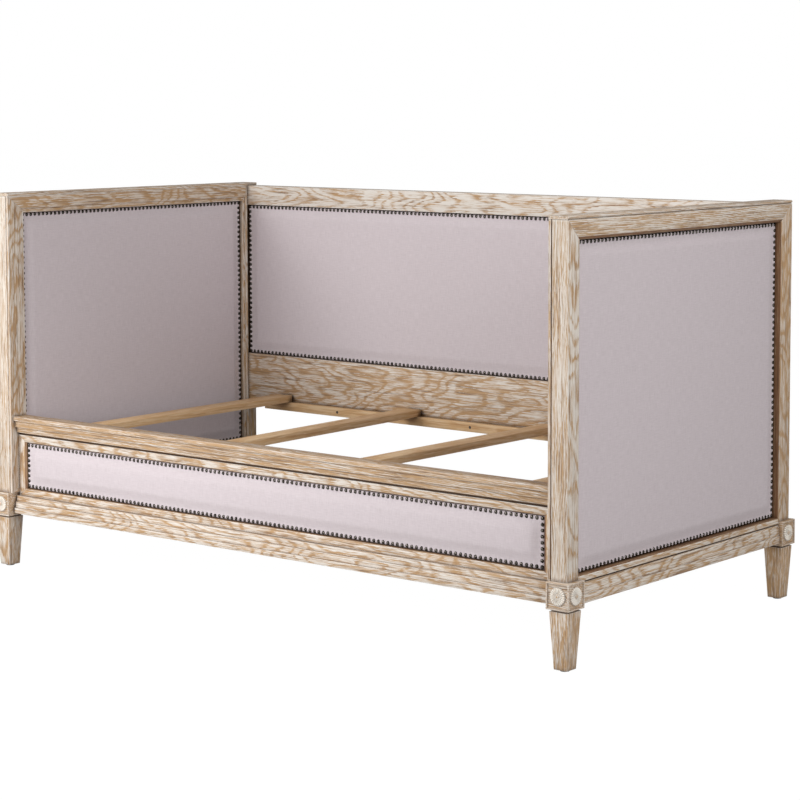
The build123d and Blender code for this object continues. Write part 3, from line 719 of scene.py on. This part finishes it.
def nailheads(name, node, panel):
    """Domed heads round the panel: a low round cap, highest in the middle, on a closed foot.

    NAIL_PROFILE, close to a circle's arc, is turned through NAIL_SIDES steps. The same
    head then stands at each nail's spot.
    """
    angle = np.linspace(0, 2 * np.pi, NAIL_SIDES, endpoint=False)
    reach, rise = np.array(NAIL_PROFILE).T
    ring = np.stack([reach[:, None] * np.cos(angle) * NAIL_RADIUS,
                     reach[:, None] * np.sin(angle) * NAIL_RADIUS,
                     np.repeat(rise[:, None] * NAIL_DOME, NAIL_SIDES, 1)], -1).reshape(-1, 3)
    head = np.concatenate([ring, [[0, 0, NAIL_DOME], [0, 0, rise[0] * NAIL_DOME]]])
    walls = grid_faces(len(reach), NAIL_SIDES, wrap=True).tolist()
    here = np.arange(NAIL_SIDES)
    after = np.roll(here, -1)
    last = (len(reach) - 1) * NAIL_SIDES
    top = np.stack([last + here, last + after, np.full(NAIL_SIDES, len(ring))], -1).tolist()
    foot = np.stack([after, here, np.full(NAIL_SIDES, len(ring) + 1)], -1).tolist()
    one_head = walls + top + foot
    runs = panel.width - 2 * NAIL_INSET, panel.height - 2 * NAIL_INSET
    counts = [max(round(run / NAIL_PITCH), 1) for run in runs]
    u = NAIL_INSET + np.arange(counts[0] + 1) * runs[0] / counts[0]
    v = NAIL_INSET + np.arange(1, counts[1]) * runs[1] / counts[1]
    low, high = np.full_like(u, NAIL_INSET), np.full_like(u, panel.height - NAIL_INSET)
    left, right = np.full_like(v, NAIL_INSET), np.full_like(v, panel.width - NAIL_INSET)
    spots = np.concatenate([np.stack([u, low], -1), np.stack([u, high], -1),
                            np.stack([left, v], -1), np.stack([right, v], -1)])
    dice = np.random.default_rng(len(spots))
    spots = spots + dice.uniform(-NAIL_STRAY, NAIL_STRAY, spots.shape)
    plane = spots[:, None, :] + head[None, :, :2]
    points = panel.at(plane[..., 0], plane[..., 1], panel.border + head[None, :, 2])
    steps = np.arange(len(spots)) * len(head)
    faces = [[corner + step for corner in face] for step in steps.tolist() for face in one_head]
    piece = new_piece(name, points.reshape(-1, 3), faces)
    finish_piece(piece, "bronze_nails", body_of_node[node], smooth_angle=70)
    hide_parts(node)


panel_nodes = {
    "right_arm_outer": (1, 0, 0), "right_arm_inner": (-1, 0, 0),
    "left_arm_outer": (-1, 0, 0), "left_arm_inner": (1, 0, 0),
    "back_inner": (0, -1, 0), "back_outer": (0, 1, 0), "front": (0, -1, 0),
}
for place, normal in panel_nodes.items():
    panel = Panel(place + "_pad", place + "_nails", normal)
    upholstered(place + "_linen", place + "_pad", panel)
    nailheads(place + "_nailheads", place + "_nails", panel)


# ---- carved rosettes ----
def rosettes():
    """Eight carved flowers: a domed boss, a groove, then petals as half-round ridges.

    Height over the sunk square = petal ridge |cos| to a power x a rounded radial bulge,
    and the rim is scalloped by the same ridge.
    """
    turns = ROSETTE_PETALS * STEPS_PER_PETAL
    angle = np.linspace(0, 2 * np.pi, turns, endpoint=False)[None, :]
    reach = np.concatenate([np.linspace(0.02, 0.22, BOSS_RINGS),
                            np.linspace(0.26, 1.0, PETAL_RINGS)])[:, None]
    ridge = np.abs(np.cos(ROSETTE_PETALS / 2 * angle)) ** RIDGE_POWER
    off_middle = np.clip((reach - PETAL_MIDDLE) / PETAL_HALF, -1, 1)
    bulge = np.sqrt(np.clip(1 - off_middle ** 4, 0, 1))
    petals = (CUT_SHARE + (1 - CUT_SHARE) * ridge) * bulge * (reach > BOSS_REACH)
    boss = np.sqrt(np.clip(1 - (reach / BOSS_REACH) ** 2, 0, 1))
    height = np.maximum(petals * PETAL_HIGH, boss * BOSS_HIGH) * ROSETTE_PROUD
    radius = ROSETTE_RADIUS * reach * (1 - SCALLOP * (1 - ridge) * reach ** 4)
    disc = np.stack([radius * np.cos(angle), radius * np.sin(angle), height], -1).reshape(-1, 3)
    rim = np.stack([disc[-turns:, 0], disc[-turns:, 1], 0 * angle[0]], -1)
    one = np.concatenate([disc, rim, [[0, 0, height.max()], [0, 0, 0]]])
    rows = len(reach) + 1
    here = np.arange(turns)
    after = np.roll(here, -1)
    walls = grid_faces(rows, turns, wrap=True)[:, ::-1]
    top = np.stack([here, after, np.full(turns, rows * turns)], -1)
    foot = np.stack([(rows - 1) * turns + after, (rows - 1) * turns + here,
                     np.full(turns, rows * turns + 1)], -1)
    flower_faces = [*walls.tolist(), *top.tolist(), *foot.tolist()]
    points, faces = [], []
    for side in ("left", "right"):
        for end in ("front", "rear"):
            low, high = (np.array(c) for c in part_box(f"{side}_{end}_corner_block"))
            out = np.array([1 if side == "right" else -1, 1 if end == "rear" else -1, 0.0])
            # from the block's inner corner, as the buttons stand out past its outer faces
            centre = np.where(out > 0, low, high) + out * BLOCK / 2
            centre[2] = (low[2] + high[2]) / 2
            for axis in (0, 1):
                normal = np.eye(3)[axis] * out
                sunk_mid = centre + normal * (BLOCK / 2 - ROSETTE_SUNK)
                across = np.cross(normal, (0, 0, 1.0))
                turned = one[:, :1] * across + one[:, 1:2] * (0, 0, 1.0) + one[:, 2:] * normal
                flip = np.dot(np.cross(across, (0, 0, 1.0)), normal) < 0
                step = sum(len(p) for p in points)
                points.append(sunk_mid + turned)
                faces += [[c + step for c in (f[::-1] if flip else f)] for f in flower_faces]
    all_points = np.concatenate(points)
    piece = new_piece("corner_rosettes", all_points, faces)
    dice = np.random.default_rng(ROSETTE_SEED)
    write_grain(piece.data, grain_of(all_points, points[0], dice), 0)
    finish_piece(piece, "limed_oak", body_of_node["right_front_corner_block"],
                 material=carved_oak, smooth_angle=50)
    piece.data.materials.append(boss_oak)
    top_point = len(one) - 2
    wiped = [all(c % len(one) < BOSS_RINGS * turns or c % len(one) == top_point for c in face)
             for face in faces]
    piece.data.polygons.foreach_set("material_index", np.array(wiped, np.int32))


rosettes()


# ---- stage, lights, camera ----
def white_stage():
    """White floor with a soft shadow.

    The camera and reflections see it white; as a surface it is grey and throws little back.
    """
    material, tree, shader = new_material("white floor")
    rays = add(tree, "LightPath")
    seen = add(tree, "Math", (rays.outputs["Is Camera Ray"], rays.outputs["Is Glossy Ray"]),
               operation="MAXIMUM")
    cover = add(tree, "Math", (seen.outputs[0], FLOOR_GLOW), operation="MULTIPLY")
    shader.inputs["Base Color"].default_value = colour("#8C8C8C")
    shader.inputs["Roughness"].default_value = 1.0
    shader.inputs["Specular IOR Level"].default_value = 0.0
    glow = add(tree, "Emission", {"Color": (1, 1, 1, 1), "Strength": FLOOR_WHITE})
    both = add(tree, "MixShader", (cover.outputs[0], shader.outputs[0], glow.outputs[0]))
    tree.links.new(both.outputs[0], tree.nodes["Material Output"].inputs[0])
    corners = np.array([(-1, -1, 0), (1, -1, 0), (1, 1, 0), (-1, 1, 0)]) * FLOOR_HALF
    floor = new_piece("floor", corners, [(0, 1, 2, 3)])
    floor.data.materials.append(material)


def sky():
    """Even surroundings.

    White to the camera and through glass, dimmer as light and in reflections.
    """
    world = bpy.data.worlds.new("studio")
    bpy.context.scene.world = world
    world.use_nodes = True
    tree = world.node_tree
    tree.nodes.clear()
    rays = add(tree, "LightPath")
    seen = add(tree, "Math", (rays.outputs["Is Camera Ray"],
                              rays.outputs["Is Transmission Ray"]), operation="MAXIMUM")
    level = add(tree, "MapRange", {0: seen.outputs[0], 3: SKY_LIGHT, 4: 1.0})
    shell = add(tree, "Background", {"Color": (1, 1, 1, 1), "Strength": level.outputs[0]})
    add(tree, "OutputWorld", {"Surface": shell.outputs[0]})


def area_light(name, place, target, size, watts):
    """Soft rectangular lamp that faces a point."""
    lamp = bpy.data.lights.new(name, "AREA")
    lamp.shape = "RECTANGLE"
    lamp.size, lamp.size_y = size
    lamp.energy = watts
    lamp_object = bpy.data.objects.new(name, lamp)
    bpy.context.scene.collection.objects.link(lamp_object)
    lamp_object.location = place
    lamp_object.visible_camera = False
    facing = Vector(target) - Vector(place)
    lamp_object.rotation_euler = facing.to_track_quat("-Z", "Y").to_euler()


def camera():
    """Long lens out beyond the front right corner, above the back's height, tipped down."""
    lens = bpy.data.cameras.new("camera")
    lens.lens = CAMERA_LENS
    lens.sensor_width = 36.0
    lens.shift_x, lens.shift_y = CAMERA_SHIFT
    lens.clip_end = 200.0
    eye = bpy.data.objects.new("camera", lens)
    bpy.context.scene.collection.objects.link(eye)
    eye.location = CAMERA_PLACE
    eye.rotation_euler = Euler((math.radians(90 + CAMERA_PITCH), 0, math.radians(CAMERA_YAW)),
                               "XYZ")
    bpy.context.scene.camera = eye


white_stage()
sky()
for lamp, settings in LAMPS.items():
    area_light(lamp, *settings)
camera()
bpy.context.scene.view_settings.view_transform = "Standard"
